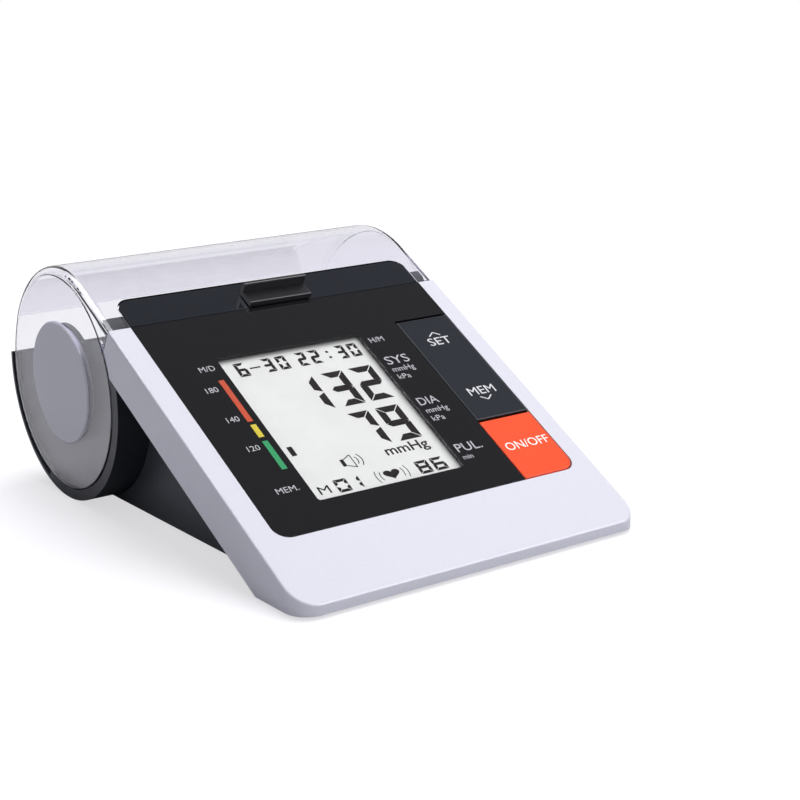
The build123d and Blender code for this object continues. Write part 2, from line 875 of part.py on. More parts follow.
def make_rocker_key():
    """Two-way key: one long cap that tips about a pin across its middle."""
    cap = plate(key_sheet(rocker_front + key_gap / 2, rocker_back - key_gap / 2, False),
                key_proud - key_cap, key_proud)
    cap = soften_top(cap, 0.5)
    for x in lug_places():
        half = lug_thickness / 2
        lug = face_box(x - half, x + half, rocker_pivot - lug_radius, rocker_pivot + lug_radius,
                       -axle_depth, key_proud - key_cap + 0.1)
        lug += axle(lug_radius, x - half, x + half)
        cap += lug
    cap -= axle(axle_radius + axle_clearance, key_left - 5, panel_right + 5)
    for x, s in switch_places()[1:]:
        cap += face_rod(x, s, tip_depth(), key_proud - key_cap + 0.1, tip_radius)
    return cap


def lug_places():
    return (key_middle - ear_x + lug_step, key_middle + ear_x - lug_step)


def axle(radius, x0, x1):
    place = face_plane.location * Pos((x0 + x1) / 2, rocker_pivot, -axle_depth)
    return place * Rot(0, 90, 0) * Cylinder(radius, x1 - x0)


def ear_places():
    return (key_middle - ear_x, key_middle + ear_x)


def make_rocker_pin():
    reach = ear_x + ear_thickness / 2
    return axle(axle_radius, key_middle - reach, key_middle + reach)


def make_key_bracket():
    """Bracket on the board: ears for the rocker's pin and a guide for the power key."""
    reach = ear_x + ear_thickness
    base = face_box(key_middle - reach, key_middle + reach, power_middle - switch_size, rocker_pivot + switch_size,
                    -board_depth, -board_depth + 1.2)
    hole = switch_size / 2 + seam_gap
    for x, s in switch_places()[:2]:
        base -= face_box(x - hole, x + hole, s - hole, s + hole, -board_depth - 1, 0)
    half = ear_thickness / 2
    for x in ear_places():
        ear = face_box(x - half, x + half, rocker_pivot - ear_thickness, rocker_pivot + ear_thickness,
                       -board_depth, -axle_depth)
        base += ear + axle(ear_radius, x - half, x + half)
    base -= axle(axle_radius, key_left, panel_right)
    guide_top = lip_low() - key_travel - 0.2
    guide_low = -board_depth + switch_height + 0.2
    depth = stem_radius + 1.1
    bridge = face_box(key_middle - ear_x, key_middle + ear_x, power_middle - depth, power_middle + depth,
                      guide_low, guide_top)
    for side in (-1, 1):
        x0, x1 = sorted((key_middle + side * (ear_x - 1.4), key_middle + side * ear_x))
        bridge += face_box(x0, x1, power_middle - depth, power_middle + depth, -board_depth + 0.1, guide_top)
    bridge -= face_rod(key_middle, power_middle, guide_low - 1, guide_top + 1, stem_radius + stem_clearance)
    return base + bridge


def make_buzzer():
    x = window_left - glass_border - 2 - buzzer_radius
    s = window_front + buzzer_radius
    top = -board_depth + buzzer_height
    body = face_rod(x, s, -board_depth, top, buzzer_radius)
    return body - face_rod(x, s, top - 1, top + 1, 1.0)


def cell_rows():
    """Middle line of each cell, front to back, with the side its plus end points to."""
    y0 = bay_front + bay_side_gap + cell_radius
    return [(y0 + cell_pitch * i, 1 if i % 2 == 0 else -1) for i in range(cell_count)]


def make_battery_cells():
    cells = []
    for y, side in cell_rows():
        cell = rod_x(-cell_length / 2 + 0.6, cell_length / 2 - 0.6, y, cell_height, cell_radius)
        n0, n1 = sorted((side * (cell_length / 2 - 0.7), side * (cell_length / 2 + 0.6)))
        cells.append(cell + rod_x(n0, n1, y, cell_height, 2.75))
    return Compound(children=cells)


def make_battery_contacts():
    """Plates at both ends of the bay: a coned spring for each minus end, a nub for each plus end."""
    pieces = []
    inner = bay_length / 2 - contact_thickness
    for y, plus in cell_rows():
        for side in (-1, 1):
            x0, x1 = sorted((side * inner, side * bay_length / 2))
            pad = block(x0, x1, y - contact_half, y + contact_half,
                        cell_height - contact_half, cell_height + contact_half)
            if side == plus:
                reach = inner - (cell_length / 2 + 0.6)
                n0, n1 = sorted((side * (inner - reach), side * inner))
                pad += rod_x(n0, n1, y, cell_height, 2.2)
            else:
                reach = inner - (cell_length / 2 - 0.6)
                middle = side * (inner - reach / 2)
                cone = Cone(4.6, 2.8, reach) if side < 0 else Cone(2.8, 4.6, reach)
                pad += Pos(middle, y, cell_height) * Rot(0, 90, 0) * cone
            pieces.append(pad)
    return Compound(children=pieces)


def make_battery_door():
    low = foot_height + door_recess
    half = bay_length / 2 - door_gap
    door = block(-half, half, bay_front + door_gap, door_axis_y(), low, low + door_thickness)
    reach = half + door_pin_length
    door += rod_x(-half, half, door_axis_y(), door_axis_height(), door_thickness / 2)
    door += rod_x(-reach, reach, door_axis_y(), door_axis_height(), door_pin_radius)
    for i in range(5):
        y = bay_front + 5 + 2.2 * i
        door -= block(-notch_half + 1, notch_half - 1, y, y + 1.0, low - 1, low + 0.5)
    return door


def make_pump_motor():
    can = rod_x(pump_left, pump_left + motor_length, pump_y, pump_z, motor_radius)
    rim = [e for e in can.edges() if abs(e.center().X - pump_left) < 0.01]
    can = chamfer(rim, motor_edge)
    return can + rod_x(pump_left - 1.6, pump_left + 0.1, pump_y, pump_z, 3.0)


def make_pump_head():
    x0 = pump_left + motor_length
    half = head_width / 2
    head = block(x0, pump_right, pump_y - half, pump_y + half, pump_z - half + 0.5, pump_z + half - 0.5)
    long_edges = head.edges().filter_by(Axis.X)
    head = fillet(long_edges, 3.0)
    return head + rod_x(pump_right - 0.1, pump_right + nozzle_length, pump_y, pump_z, nozzle_radius)


def make_pump_cradle():
    """Rubber cradle between the battery bay and the pump."""
    end_gap = 4
    x0 = pump_left + end_gap
    x1 = pump_left + motor_length - end_gap
    half = motor_radius - 1
    base = block(x0, x1, pump_y - half, pump_y + half, bay_top, pump_z - motor_radius / 2)
    return base - rod_x(x0 - 1, x1 + 1, pump_y, pump_z, motor_radius + hair)


def make_air_tee():
    tee = rod_x(tee_x - tee_reach, tee_x + tee_reach, pump_y, pump_z, nozzle_radius)
    tee += rod_x(tee_x - 2, tee_x + 2, pump_y, pump_z, tee_body)
    return tee + rod_z(tee_x, pump_y, pump_z - tee_leg, pump_z, nozzle_radius)


def tube(points, bend):
    """Soft tube along straight runs with round bends, hollow for its nozzles."""
    path = FilletPolyline(*points, radius=bend) if len(points) > 2 else Line(*points)
    start = Plane(origin=path @ 0, z_dir=path % 0)
    return sweep(start * Circle(tube_radius), path=path)


def make_air_tubes():
    """Tubes from the pump to the tee, and on to the socket and the valve."""
    first = tube([(pump_right, pump_y, pump_z), (tee_x - 2, pump_y, pump_z)], 0)
    first -= rod_x(pump_right - 1, tee_x, pump_y, pump_z, nozzle_radius)
    start = tee_x + 2
    end = socket_inner() - 2
    rise = start + 0.35 * (end - start)
    fall = start + 0.65 * (end - start)
    second = tube([(start, pump_y, pump_z), (rise, pump_y, pump_z),
                   (fall, pump_y, socket_height), (end, pump_y, socket_height)], 4.0)
    second -= rod_x(tee_x, tee_x + tee_reach, pump_y, pump_z, nozzle_radius)
    second -= rod_x(socket_inner() - socket_nozzle, end + 1, pump_y, socket_height, nozzle_radius)
    third = tube([(tee_x, pump_y, pump_z - tee_body), (tee_x, pump_y, valve_top)], 0)
    third -= rod_z(tee_x, pump_y, valve_top - 1, pump_z, nozzle_radius)
    return Compound(children=[first, second, third])


def socket_inner():
    """Inner end of the air socket's body, where its nozzle begins."""
    return tub_half - socket_bore_depth


def make_release_valve():
    """Solenoid valve that lets the cuff down, standing on the battery bay."""
    body = block(tee_x - 6, tee_x + 6, pump_y - 8, pump_y + 8, bay_top, valve_top)
    return body + rod_z(tee_x, pump_y, valve_top - 0.1, valve_top + 1.2, nozzle_radius)


def make_pressure_sensor():
    low = -board_depth - board_thickness
    x = sensor_size
    s = window_front + 2 * sensor_size
    body = face_box(x, x + sensor_size, s, s + sensor_size, low - sensor_height, low)
    middle = sensor_size / 2
    return body + face_rod(x + middle, s + middle, low - 2 * sensor_height, low - sensor_height + 0.1, nozzle_radius)


def make_air_socket():
    """Socket in the right side wall that takes the cuff's air plug."""
    outer = tub_half + socket_proud
    inner = socket_inner()
    wall = tub_half - tub_wall
    body = rod_x(inner, outer, pump_y, socket_height, socket_body)
    body += rod_x(tub_half, outer, pump_y, socket_height, socket_flange)
    body += rod_x(wall - 1.4, wall, pump_y, socket_height, socket_flange)
    body -= rod_x(outer - socket_bore_depth, outer + 1, pump_y, socket_height, socket_bore)
    return body + rod_x(inner - socket_nozzle, inner + 0.1, pump_y, socket_height, nozzle_radius)


def make_dc_inlet():
    """Round power inlet in the right side wall."""
    y = front_y + inlet_back
    outer = tub_half + inlet_proud
    inner = tub_half - tub_wall
    deep = outer - inlet_depth
    body = rod_x(deep - 1.5, outer, y, inlet_height, inlet_body)
    body += rod_x(deep - 1.5, inner, y, inlet_height, inlet_flange)
    body -= rod_x(outer - inlet_mouth, outer + 1, y, inlet_height, inlet_bore)
    body -= rod_x(deep, outer, y, inlet_height, inlet_bore - 0.2)
    return body + rod_x(deep - 0.1, outer - inlet_mouth - 0.3, y, inlet_height, inlet_pin)


pieces = {
    "face_frame": make_face_frame,
    "bottom_case": make_bottom_case,
    "rubber_feet": make_feet,
    "case_screws": make_case_screws,
    "storage_trough": make_storage_trough,
    "clear_lid": make_clear_lid,
    "lid_latch": make_lid_latch,
    "display_panel": make_display_panel,
    "window_pane": make_window_pane,
    "lcd_glass": make_lcd_glass,
    "lcd_holder": make_lcd_holder,
    "main_board": make_main_board,
    "board_screws": make_board_screws,
    "key_switches": make_key_switches,
    "power_key": make_power_key,
    "rocker_key": make_rocker_key,
    "rocker_pin": make_rocker_pin,
    "key_bracket": make_key_bracket,
    "buzzer": make_buzzer,
    "battery_cells": make_battery_cells,
    "battery_contacts": make_battery_contacts,
    "battery_door": make_battery_door,
    "pump_motor": make_pump_motor,
    "pump_head": make_pump_head,
    "pump_cradle": make_pump_cradle,
    "air_tee": make_air_tee,
    "air_tubes": make_air_tubes,
    "release_valve": make_release_valve,
    "pressure_sensor": make_pressure_sensor,
    "air_socket": make_air_socket,
    "dc_inlet": make_dc_inlet,
}

for name, make in pieces.items():
    export_step(make(), f"parts/{name}.step")

for side, word in ((-1, "left"), (1, "right")):
    export_step(make_hub_cap(side), f"parts/hub_cap_{word}.step")
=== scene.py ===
import json
import math

import bmesh
import bpy
from mathutils import Matrix, Vector


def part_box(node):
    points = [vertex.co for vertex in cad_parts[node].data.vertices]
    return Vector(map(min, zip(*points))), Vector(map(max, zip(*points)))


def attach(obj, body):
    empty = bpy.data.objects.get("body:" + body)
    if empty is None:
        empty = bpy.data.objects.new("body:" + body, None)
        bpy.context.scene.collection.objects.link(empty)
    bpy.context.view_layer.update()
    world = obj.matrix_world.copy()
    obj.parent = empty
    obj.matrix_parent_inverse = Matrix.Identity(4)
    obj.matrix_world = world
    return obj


# Looks of the upper arm blood pressure monitor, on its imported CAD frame. Metres.
# Places on the sloping face are in millimetres: x from the case's left side, and s up the face
# from its front edge. A level is in metres: how far something lies from the frame's origin,
# measured square to the face.

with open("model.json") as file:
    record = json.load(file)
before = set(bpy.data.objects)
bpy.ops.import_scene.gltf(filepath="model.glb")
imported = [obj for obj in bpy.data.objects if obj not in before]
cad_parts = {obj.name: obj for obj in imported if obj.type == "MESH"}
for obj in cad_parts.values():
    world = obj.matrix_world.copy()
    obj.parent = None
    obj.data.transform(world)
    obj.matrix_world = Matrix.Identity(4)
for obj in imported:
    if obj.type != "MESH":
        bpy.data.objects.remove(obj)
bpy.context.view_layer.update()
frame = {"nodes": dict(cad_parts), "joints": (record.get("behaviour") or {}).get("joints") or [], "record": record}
nodes = frame["nodes"]
joints = {joint["name"]: joint for joint in frame["joints"]}

MM = 0.001
PANEL_FRONT = 30.2  # mm up the face, where the display panel begins
MARK_THICKNESS = 0.03  # mm, of everything printed or lit

# The power key is pressed square to the face
face_up = -Vector(joints["power_key_press"]["axis"]).normalized()
face_along = Vector((0, face_up.z, -face_up.y))
across = Vector((1, 0, 0))


def reach(node, direction):
    """Lowest and highest place of a CAD node along a direction."""
    values = [vertex.co.dot(direction) for vertex in nodes[node].data.vertices]
    return min(values), max(values)


case_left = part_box("face_frame")[0].x
face_start = reach("display_panel", face_along)[0] - PANEL_FRONT * MM
panel_level = reach("display_panel", face_up)[1]
power_level = reach("power_key", face_up)[1]
rocker_level = reach("rocker_key", face_up)[1]
glass_level = reach("lcd_glass", face_up)[1]
window_back = reach("window_pane", face_along)[1]
window_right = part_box("window_pane")[1].x


def on_face(x, s, level):
    """Point in the frame from a place on the face and a level."""
    return (
        Vector((case_left + x * MM, 0, 0))
        + face_along * (face_start + s * MM)
        + face_up * level
    )


# Camera, fitted to the straight edges of the case. Angles in degrees, lens in millimetres.
CAMERA_PLACE = (-0.35968, -0.56319, 0.21767)
CAMERA_YAW = 35.624
CAMERA_PITCH = 14.961
CAMERA_ROLL = 1.027
CAMERA_LENS = 79.86
CAMERA_CLIP = (0.01, 100)


def make_camera():
    yaw, pitch, roll = (math.radians(a) for a in (CAMERA_YAW, CAMERA_PITCH, CAMERA_ROLL))
    level = Vector((math.sin(yaw), math.cos(yaw), 0))
    ahead = level * math.cos(pitch) - Vector((0, 0, 1)) * math.sin(pitch)
    right = Vector((math.cos(yaw), -math.sin(yaw), 0))
    down = ahead.cross(right)
    rolled_right = right * math.cos(roll) + down * math.sin(roll)
    rolled_down = down * math.cos(roll) - right * math.sin(roll)
    turn = Matrix((rolled_right, -rolled_down, -ahead)).transposed()
    data = bpy.data.cameras.new("camera")
    data.lens = CAMERA_LENS
    data.clip_start, data.clip_end = CAMERA_CLIP
    camera = bpy.data.objects.new("camera", data)
    camera.matrix_world = Matrix.Translation(CAMERA_PLACE) @ turn.to_4x4()
    bpy.context.scene.collection.objects.link(camera)
    bpy.context.scene.camera = camera


make_camera()


# Shader nodes. A value is a plain number or colour, or the output of another node.
def put(tree, socket, value):
    """Link a socket to a node's output, or set it to a plain value."""
    if isinstance(value, bpy.types.NodeSocket):
        tree.links.new(value, socket)
    else:
        socket.default_value = value


def add(tree, kind, **sockets):
    """Node with these sockets filled. An underscore stands for a space in a socket's name."""
    node = tree.nodes.new(kind)
    for name, value in sockets.items():
        put(tree, node.inputs[name.replace("_", " ")], value)
    return node


def maths(tree, operation, first, second, clamp=False):
    node = tree.nodes.new("ShaderNodeMath")
    node.operation = operation
    node.use_clamp = clamp
    put(tree, node.inputs[0], first)
    put(tree, node.inputs[1], second)
    return node.outputs["Value"]


def along(tree, vector, direction):
    """How far a vector reaches in a direction."""
    node = tree.nodes.new("ShaderNodeVectorMath")
    node.operation = "DOT_PRODUCT"
    put(tree, node.inputs[0], vector)
    put(tree, node.inputs[1], direction)
    return node.outputs["Value"]


def ramp(tree, value, start, stop, low=0.0, high=1.0):
    """Value that runs from low at the start to high at the stop, and stays level outside them."""
    node = add(
        tree, "ShaderNodeMapRange",
        Value=value, From_Min=start, From_Max=stop, To_Min=low, To_Max=high,
    )
    return node.outputs["Result"]


# The colour sockets of the Mix node, by number because their names repeat
MIX_FACTOR, MIX_FIRST, MIX_SECOND, MIX_RESULT = 0, 6, 7, 2


def mix_colours(tree, factor, first, second):
    node = tree.nodes.new("ShaderNodeMix")
    node.data_type = "RGBA"
    for number, value in ((MIX_FACTOR, factor), (MIX_FIRST, first), (MIX_SECOND, second)):
        put(tree, node.inputs[number], value)
    return node.outputs[MIX_RESULT]


def mix_shaders(tree, factor, first, second):
    node = add(tree, "ShaderNodeMixShader", Fac=factor)
    put(tree, node.inputs[1], first)
    put(tree, node.inputs[2], second)
    return node.outputs["Shader"]


def place_on_piece(tree):
    return tree.nodes.new("ShaderNodeTexCoord").outputs["Object"]


GRAIN_DETAIL = 2.0
SHADES_START, SHADES_STOP = 0.35, 0.65


def grain(tree, size):
    """Noise fixed to the piece, with grains of about this size in millimetres."""
    noise = add(
        tree, "ShaderNodeTexNoise",
        Vector=place_on_piece(tree), Scale=1 / (size * MM), Detail=GRAIN_DETAIL,
    )
    return noise.outputs["Fac"]


def shades(tree, size, colour, spread):
    """Colour that varies in grains, from a little darker to a little lighter."""
    node = add(tree, "ShaderNodeValToRGB", Fac=grain(tree, size))
    low, high = node.color_ramp.elements
    low.position, high.position = SHADES_START, SHADES_STOP
    low.color = [c * (1 - spread) for c in colour] + [1]
    high.color = [min(1, c * (1 + spread)) for c in colour] + [1]
    return node.outputs["Color"]


def texture(tree, size, depth, strength=1.0):
    """Moulded texture with a real grain size and depth, both in millimetres."""
    node = add(
        tree, "ShaderNodeBump", Height=grain(tree, size), Distance=depth * MM, Strength=strength
    )
    return node.outputs["Normal"]


def make_material(name, build, *details, **named_details):
    """Material whose surface is what build returns for its node tree and these details."""
    material = bpy.data.materials.new(name)
    material.use_nodes = True
    tree = material.node_tree
    tree.nodes.clear()
    add(tree, "ShaderNodeOutputMaterial", Surface=build(tree, *details, **named_details))
    return material


# Finishes
def solid(tree, colour, spread, size, rough, texture_size=0.0, depth=0.0, **sockets):
    """Opaque: fine shades in the colour and, where it has a depth, a moulded texture."""
    if depth:
        sockets["Normal"] = texture(tree, texture_size, depth)
    shader = add(
        tree, "ShaderNodeBsdfPrincipled",
        Base_Color=shades(tree, size, colour, spread), Roughness=rough, **sockets,
    )
    return shader.outputs["BSDF"]


STRIP_MARGIN = 0.05  # mm below the panel's level
TROUGH_TEXTURE = 0.5  # mm
MOULDED_GRAIN, MOULDED_SPREAD = 0.8, 0.12
POLISHED_GRAIN, POLISHED_SPREAD = 6.0, 0.06


def trough(tree, colour, rough, polished_colour, polished_rough, depth):
    """Moulded, and polished on the strip that lies level with the display panel."""
    level = along(tree, place_on_piece(tree), face_up)
    on_strip = maths(tree, "GREATER_THAN", level, panel_level - STRIP_MARGIN * MM)
    shader = add(
        tree, "ShaderNodeBsdfPrincipled",
        Base_Color=mix_colours(
            tree, on_strip,
            shades(tree, MOULDED_GRAIN, colour, MOULDED_SPREAD),
            shades(tree, POLISHED_GRAIN, polished_colour, POLISHED_SPREAD),
        ),
        Roughness=ramp(tree, on_strip, 0.0, 1.0, rough, polished_rough),
        Normal=texture(tree, TROUGH_TEXTURE, depth, ramp(tree, on_strip, 0.0, 1.0, 1.0, 0.0)),
    )
    return shader.outputs["BSDF"]


DISPLAY_GRAIN, DISPLAY_SPREAD = 10.0, 0.012


def display(tree, colour, rough, shade, width):
    """Pale, and darker by the shade close to the window's back and right edges: painted shade, standing in for the
    window's edge shading the sunken display.
    """
    place = place_on_piece(tree)
    near_back, near_right = (
        ramp(tree, along(tree, place, direction), edge - width * MM, edge)
        for direction, edge in ((face_along, window_back), (across, window_right))
    )
    # Painted shade: within the width of the window's back and right edges the colour darkens by the shade factor
    painted_shade_colour = [c * shade for c in colour]
    shader = add(
        tree, "ShaderNodeBsdfPrincipled",
        Base_Color=mix_colours(
            tree, maths(tree, "MAXIMUM", near_back, near_right),
            shades(tree, DISPLAY_GRAIN, colour, DISPLAY_SPREAD),
            shades(tree, DISPLAY_GRAIN, painted_shade_colour, DISPLAY_SPREAD),
        ),
        Roughness=rough,
    )
    return shader.outputs["BSDF"]


CLEAR_GRAIN = 8.0
LID_SPREAD, PANE_SPREAD = 0.01, 0.005
PLASTIC_IOR = 1.49
PANE_HEAD_ON = 0.02  # what the pane reflects when it is seen straight on
PANE_RISE = 4.0  # how late its reflection rises towards a grazing view


def clear(tree, colour, rough):
    """Clear plastic that bends light. Lamps shine through it."""
    tint = shades(tree, CLEAR_GRAIN, colour, LID_SPREAD)
    shader = add(
        tree, "ShaderNodeBsdfPrincipled",
        Base_Color=tint, Roughness=rough, IOR=PLASTIC_IOR, Transmission_Weight=1.0,
    )
    lamp_light = add(tree, "ShaderNodeBsdfTransparent", Color=tint)
    path = tree.nodes.new("ShaderNodeLightPath").outputs
    return mix_shaders(
        tree, path["Is Shadow Ray"], shader.outputs["BSDF"], lamp_light.outputs["BSDF"]
    )


def pane(tree, colour, rough):
    """Thin clear pane: what lies behind it shows straight through, under a reflection."""
    through = add(
        tree, "ShaderNodeBsdfTransparent", Color=shades(tree, CLEAR_GRAIN, colour, PANE_SPREAD)
    )
    surface = add(tree, "ShaderNodeBsdfPrincipled", Roughness=rough, Metallic=1.0)
    facing = tree.nodes.new("ShaderNodeLayerWeight").outputs["Facing"]
    steep = ramp(tree, maths(tree, "POWER", facing, PANE_RISE), 0.0, 1.0, PANE_HEAD_ON, 1.0)
    return mix_shaders(tree, steep, through.outputs["BSDF"], surface.outputs["BSDF"])


METAL = {"Metallic": 1.0}
DULL = {"Specular_IOR_Level": 0.3}
VERY_DULL = {"Specular_IOR_Level": 0.1}

# By slot: name, colour, spread of its shades, their grain in mm, roughness, then the grain and
# the depth of a moulded texture, both in mm, and other sockets
SOLID_FINISHES = {
    "silver_plastic": ("silver_lacquer", (0.65, 0.65, 0.735), 0.03, 0.4, 0.25, 0.25, 0.001, {}),
    "charcoal_plastic": ("charcoal_moulded", (0.042, 0.047, 0.058), 0.12, 0.8, 0.42, 0.5, 0.02, {}),
    "black_rubber": ("black_rubber", (0.018, 0.018, 0.02), 0.1, 1.0, 0.75, 0.5, 0.01, {}),
    "steel_screw": ("zinc_steel", (0.55, 0.55, 0.57), 0.08, 0.4, 0.3, 0.2, 0.003, METAL),
    "black_plastic": ("black_moulded", (0.012, 0.012, 0.014), 0.1, 0.6, 0.35, 0.3, 0.006, {}),
    "panel_black": ("panel_black", (0.006, 0.006, 0.007), 0.06, 6.0, 0.06, 0.0, 0.0, {}),
    "white_plastic": ("white_moulded", (0.75, 0.75, 0.73), 0.03, 1.5, 0.45, 0.4, 0.004, {}),
    "circuit_board": ("green_solder_mask", (0.012, 0.10, 0.04), 0.2, 2.0, 0.3, 0.8, 0.01, {}),
    "switch_black": ("switch_black", (0.02, 0.02, 0.02), 0.1, 0.6, 0.4, 0.3, 0.004, {}),
    "orange_plastic": ("orange_satin", (0.83, 0.067, 0.013), 0.02, 0.8, 0.42, 0.25, 0.003, {}),
    "key_charcoal": ("key_charcoal", (0.008, 0.010, 0.014), 0.06, 0.8, 0.4, 0.25, 0.003, DULL),
    "steel_pin": ("ground_steel", (0.6, 0.6, 0.62), 0.06, 0.3, 0.22, 0.15, 0.001, METAL),
    "battery_sleeve": ("battery_sleeve", (0.04, 0.06, 0.12), 0.15, 5.0, 0.3, 0.4, 0.002, {}),
    "contact_metal": ("nickel_plate", (0.68, 0.67, 0.62), 0.06, 0.5, 0.25, 0.2, 0.002, METAL),
    "motor_can": ("drawn_steel", (0.6, 0.6, 0.6), 0.06, 0.8, 0.28, 0.3, 0.003, METAL),
    "pump_plastic": ("pump_moulded", (0.05, 0.05, 0.055), 0.1, 0.8, 0.45, 0.4, 0.006, {}),
    "tube_rubber": ("grey_silicone", (0.5, 0.5, 0.5), 0.04, 1.0, 0.55, 0.5, 0.004, {}),
    "valve_metal": ("plated_yoke", (0.5, 0.5, 0.48), 0.08, 0.6, 0.3, 0.3, 0.003, METAL),
    "grey_plastic": ("grey_satin", (0.54, 0.54, 0.615), 0.03, 0.8, 0.4, 0.25, 0.003, {}),
}
finishes = {
    slot: make_material(name, solid, *numbers, **sockets)
    for slot, (name, *numbers, sockets) in SOLID_FINISHES.items()
}
finishes["clear_plastic"] = make_material(
    "clear_plastic", clear, colour=(0.90, 0.895, 0.95), rough=0.02
)
finishes["window_clear"] = make_material(
    "window_clear", pane, colour=(0.99, 0.99, 0.99), rough=0.05
)
# The LCD's colour has painted shade along the window's back and right edges
finishes["lcd_glass"] = make_material(
    "lcd_polariser_painted_shade", display, colour=(0.765, 0.77, 0.77), rough=0.4, shade=0.66, width=3.5
)
slot_of = {part["node"]: part["material_slot"] for part in frame["record"]["subparts"]}
for name, node in nodes.items():
    node.data.materials.clear()
    node.data.materials.append(finishes[slot_of[name]])
nodes["storage_trough"].data.materials[0] = make_material(
    "charcoal_trough", trough,
    colour=(0.017, 0.019, 0.026), rough=0.38,
    polished_colour=(0.009, 0.011, 0.017), polished_rough=0.06, depth=0.02,
)

PRINT_GRAIN, PRINT_ROUGHNESS = 0.6, 0.5


def ink(name, colour, spread, **sockets):
    return make_material(name, solid, colour, spread, PRINT_GRAIN, PRINT_ROUGHNESS, **sockets)


print_white = ink("print_white", (0.64, 0.64, 0.68), 0.02)
print_grey = ink("print_grey", (0.43, 0.43, 0.47), 0.02)
key_white = ink("key_print_white", (0.92, 0.88, 0.86), 0.02)
scale_red = ink("scale_red", (0.44, 0.06, 0.025), 0.03)
scale_yellow = ink("scale_yellow", (0.55, 0.45, 0.04), 0.03)
scale_green = ink("scale_green", (0.02, 0.24, 0.09), 0.03)
segment_dark = ink("segment_dark", (0.006, 0.004, 0.0035), 0.05, **VERY_DULL)


# Marks, each a thin closed solid that lies on the face
def finish_piece(name, mesh, material, body):
    data = bpy.data.meshes.new(name)
    mesh.to_mesh(data)
    mesh.free()
    data.materials.append(material)
    piece = bpy.data.objects.new(name, data)
    bpy.context.scene.collection.objects.link(piece)
    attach(piece, body)


def flat_piece(name, shapes, level, material, body):
    """One piece from flat polygons, each a list of (x, s) corners on the face."""
    mesh = bmesh.new()
    for corners in shapes:
        low = [mesh.verts.new(on_face(x, s, level)) for x, s in corners]
        high = [mesh.verts.new(on_face(x, s, level + MARK_THICKNESS * MM)) for x, s in corners]
        mesh.faces.new(high)
        mesh.faces.new(low[::-1])
        for i in range(len(corners)):
            j = (i + 1) % len(corners)
            mesh.faces.new((low[i], low[j], high[j], high[i]))
    bmesh.ops.recalc_face_normals(mesh, faces=mesh.faces)
    bmesh.ops.triangulate(mesh, faces=[f for f in mesh.faces if len(f.verts) > 4])
    finish_piece(name, mesh, material, body)


LETTER_STEPS = 3


def letters(text, weight=0.0):
    """Flat mesh of a word in the built-in font, with its baseline on y = 0."""
    curve = bpy.data.curves.new("word", "FONT")
    curve.body = text
    curve.resolution_u = LETTER_STEPS
    curve.offset = weight
    holder = bpy.data.objects.new("word", curve)
    bpy.context.scene.collection.objects.link(holder)
    bpy.context.view_layer.update()
    evaluated = holder.evaluated_get(bpy.context.evaluated_depsgraph_get())
    mesh = bpy.data.meshes.new_from_object(evaluated)
    bpy.data.objects.remove(holder)
    return mesh


capital_height = max(v.co.y for v in letters("H").vertices)


def word_piece(name, words, level, material, body, weight=0.0):
    """One piece from words: text, left and right x, and the base and top s of its capitals."""
    mesh = bmesh.new()
    for text, x0, x1, s0, s1 in words:
        flat = letters(text, weight)
        left = min(v.co.x for v in flat.vertices)
        width = max(v.co.x for v in flat.vertices) - left
        start = len(mesh.verts)
        mesh.from_mesh(flat)
        mesh.verts.ensure_lookup_table()
        for vertex in list(mesh.verts)[start:]:
            x = x0 + (vertex.co.x - left) / width * (x1 - x0)
            s = s0 + vertex.co.y / capital_height * (s1 - s0)
            vertex.co = on_face(x, s, level)
    raised = bmesh.ops.extrude_face_region(mesh, geom=mesh.faces[:])["geom"]
    bmesh.ops.translate(
        mesh,
        verts=[part for part in raised if isinstance(part, bmesh.types.BMVert)],
        vec=face_up * MARK_THICKNESS * MM,
    )
    bmesh.ops.recalc_face_normals(mesh, faces=mesh.faces)
    finish_piece(name, mesh, material, body)


def box(x0, x1, s0, s1):
    return [(x0, s0), (x1, s0), (x1, s1), (x0, s1)]


BAND_STEPS = 14


def band(middle_x, middle_s, radius, start, stop, width):
    """Part of a ring, from one angle to another in degrees."""
    inner, outer = [], []
    for i in range(BAND_STEPS + 1):
        angle = math.radians(start + (stop - start) * i / BAND_STEPS)
        for points, r in ((inner, radius - width / 2), (outer, radius + width / 2)):
            points.append((middle_x + r * math.cos(angle), middle_s + r * math.sin(angle)))
    return outer + inner[::-1]


def stroke(points, width):
    """Straight strokes from point to point."""
    shapes = []
    for (xa, sa), (xb, sb) in zip(points, points[1:]):
        length = math.hypot(xb - xa, sb - sa)
        dx, ds = (sa - sb) / length * width / 2, (xb - xa) / length * width / 2
        shapes.append(
            [(xa + dx, sa + ds), (xa - dx, sa - ds), (xb - dx, sb - ds), (xb + dx, sb + ds)]
        )
    return shapes


# The strokes that each number lights: t top, m middle, b bottom, L and l the left side's upper
# and lower half, T and B the right side's upper and lower half
LIT = {
    "0": "tTBblL", "1": "TB", "2": "tTmlb", "3": "tTmBb", "6": "tLmBbl", "7": "tTB",
    "8": "tTBblLm", "9": "tTBbLm",
}


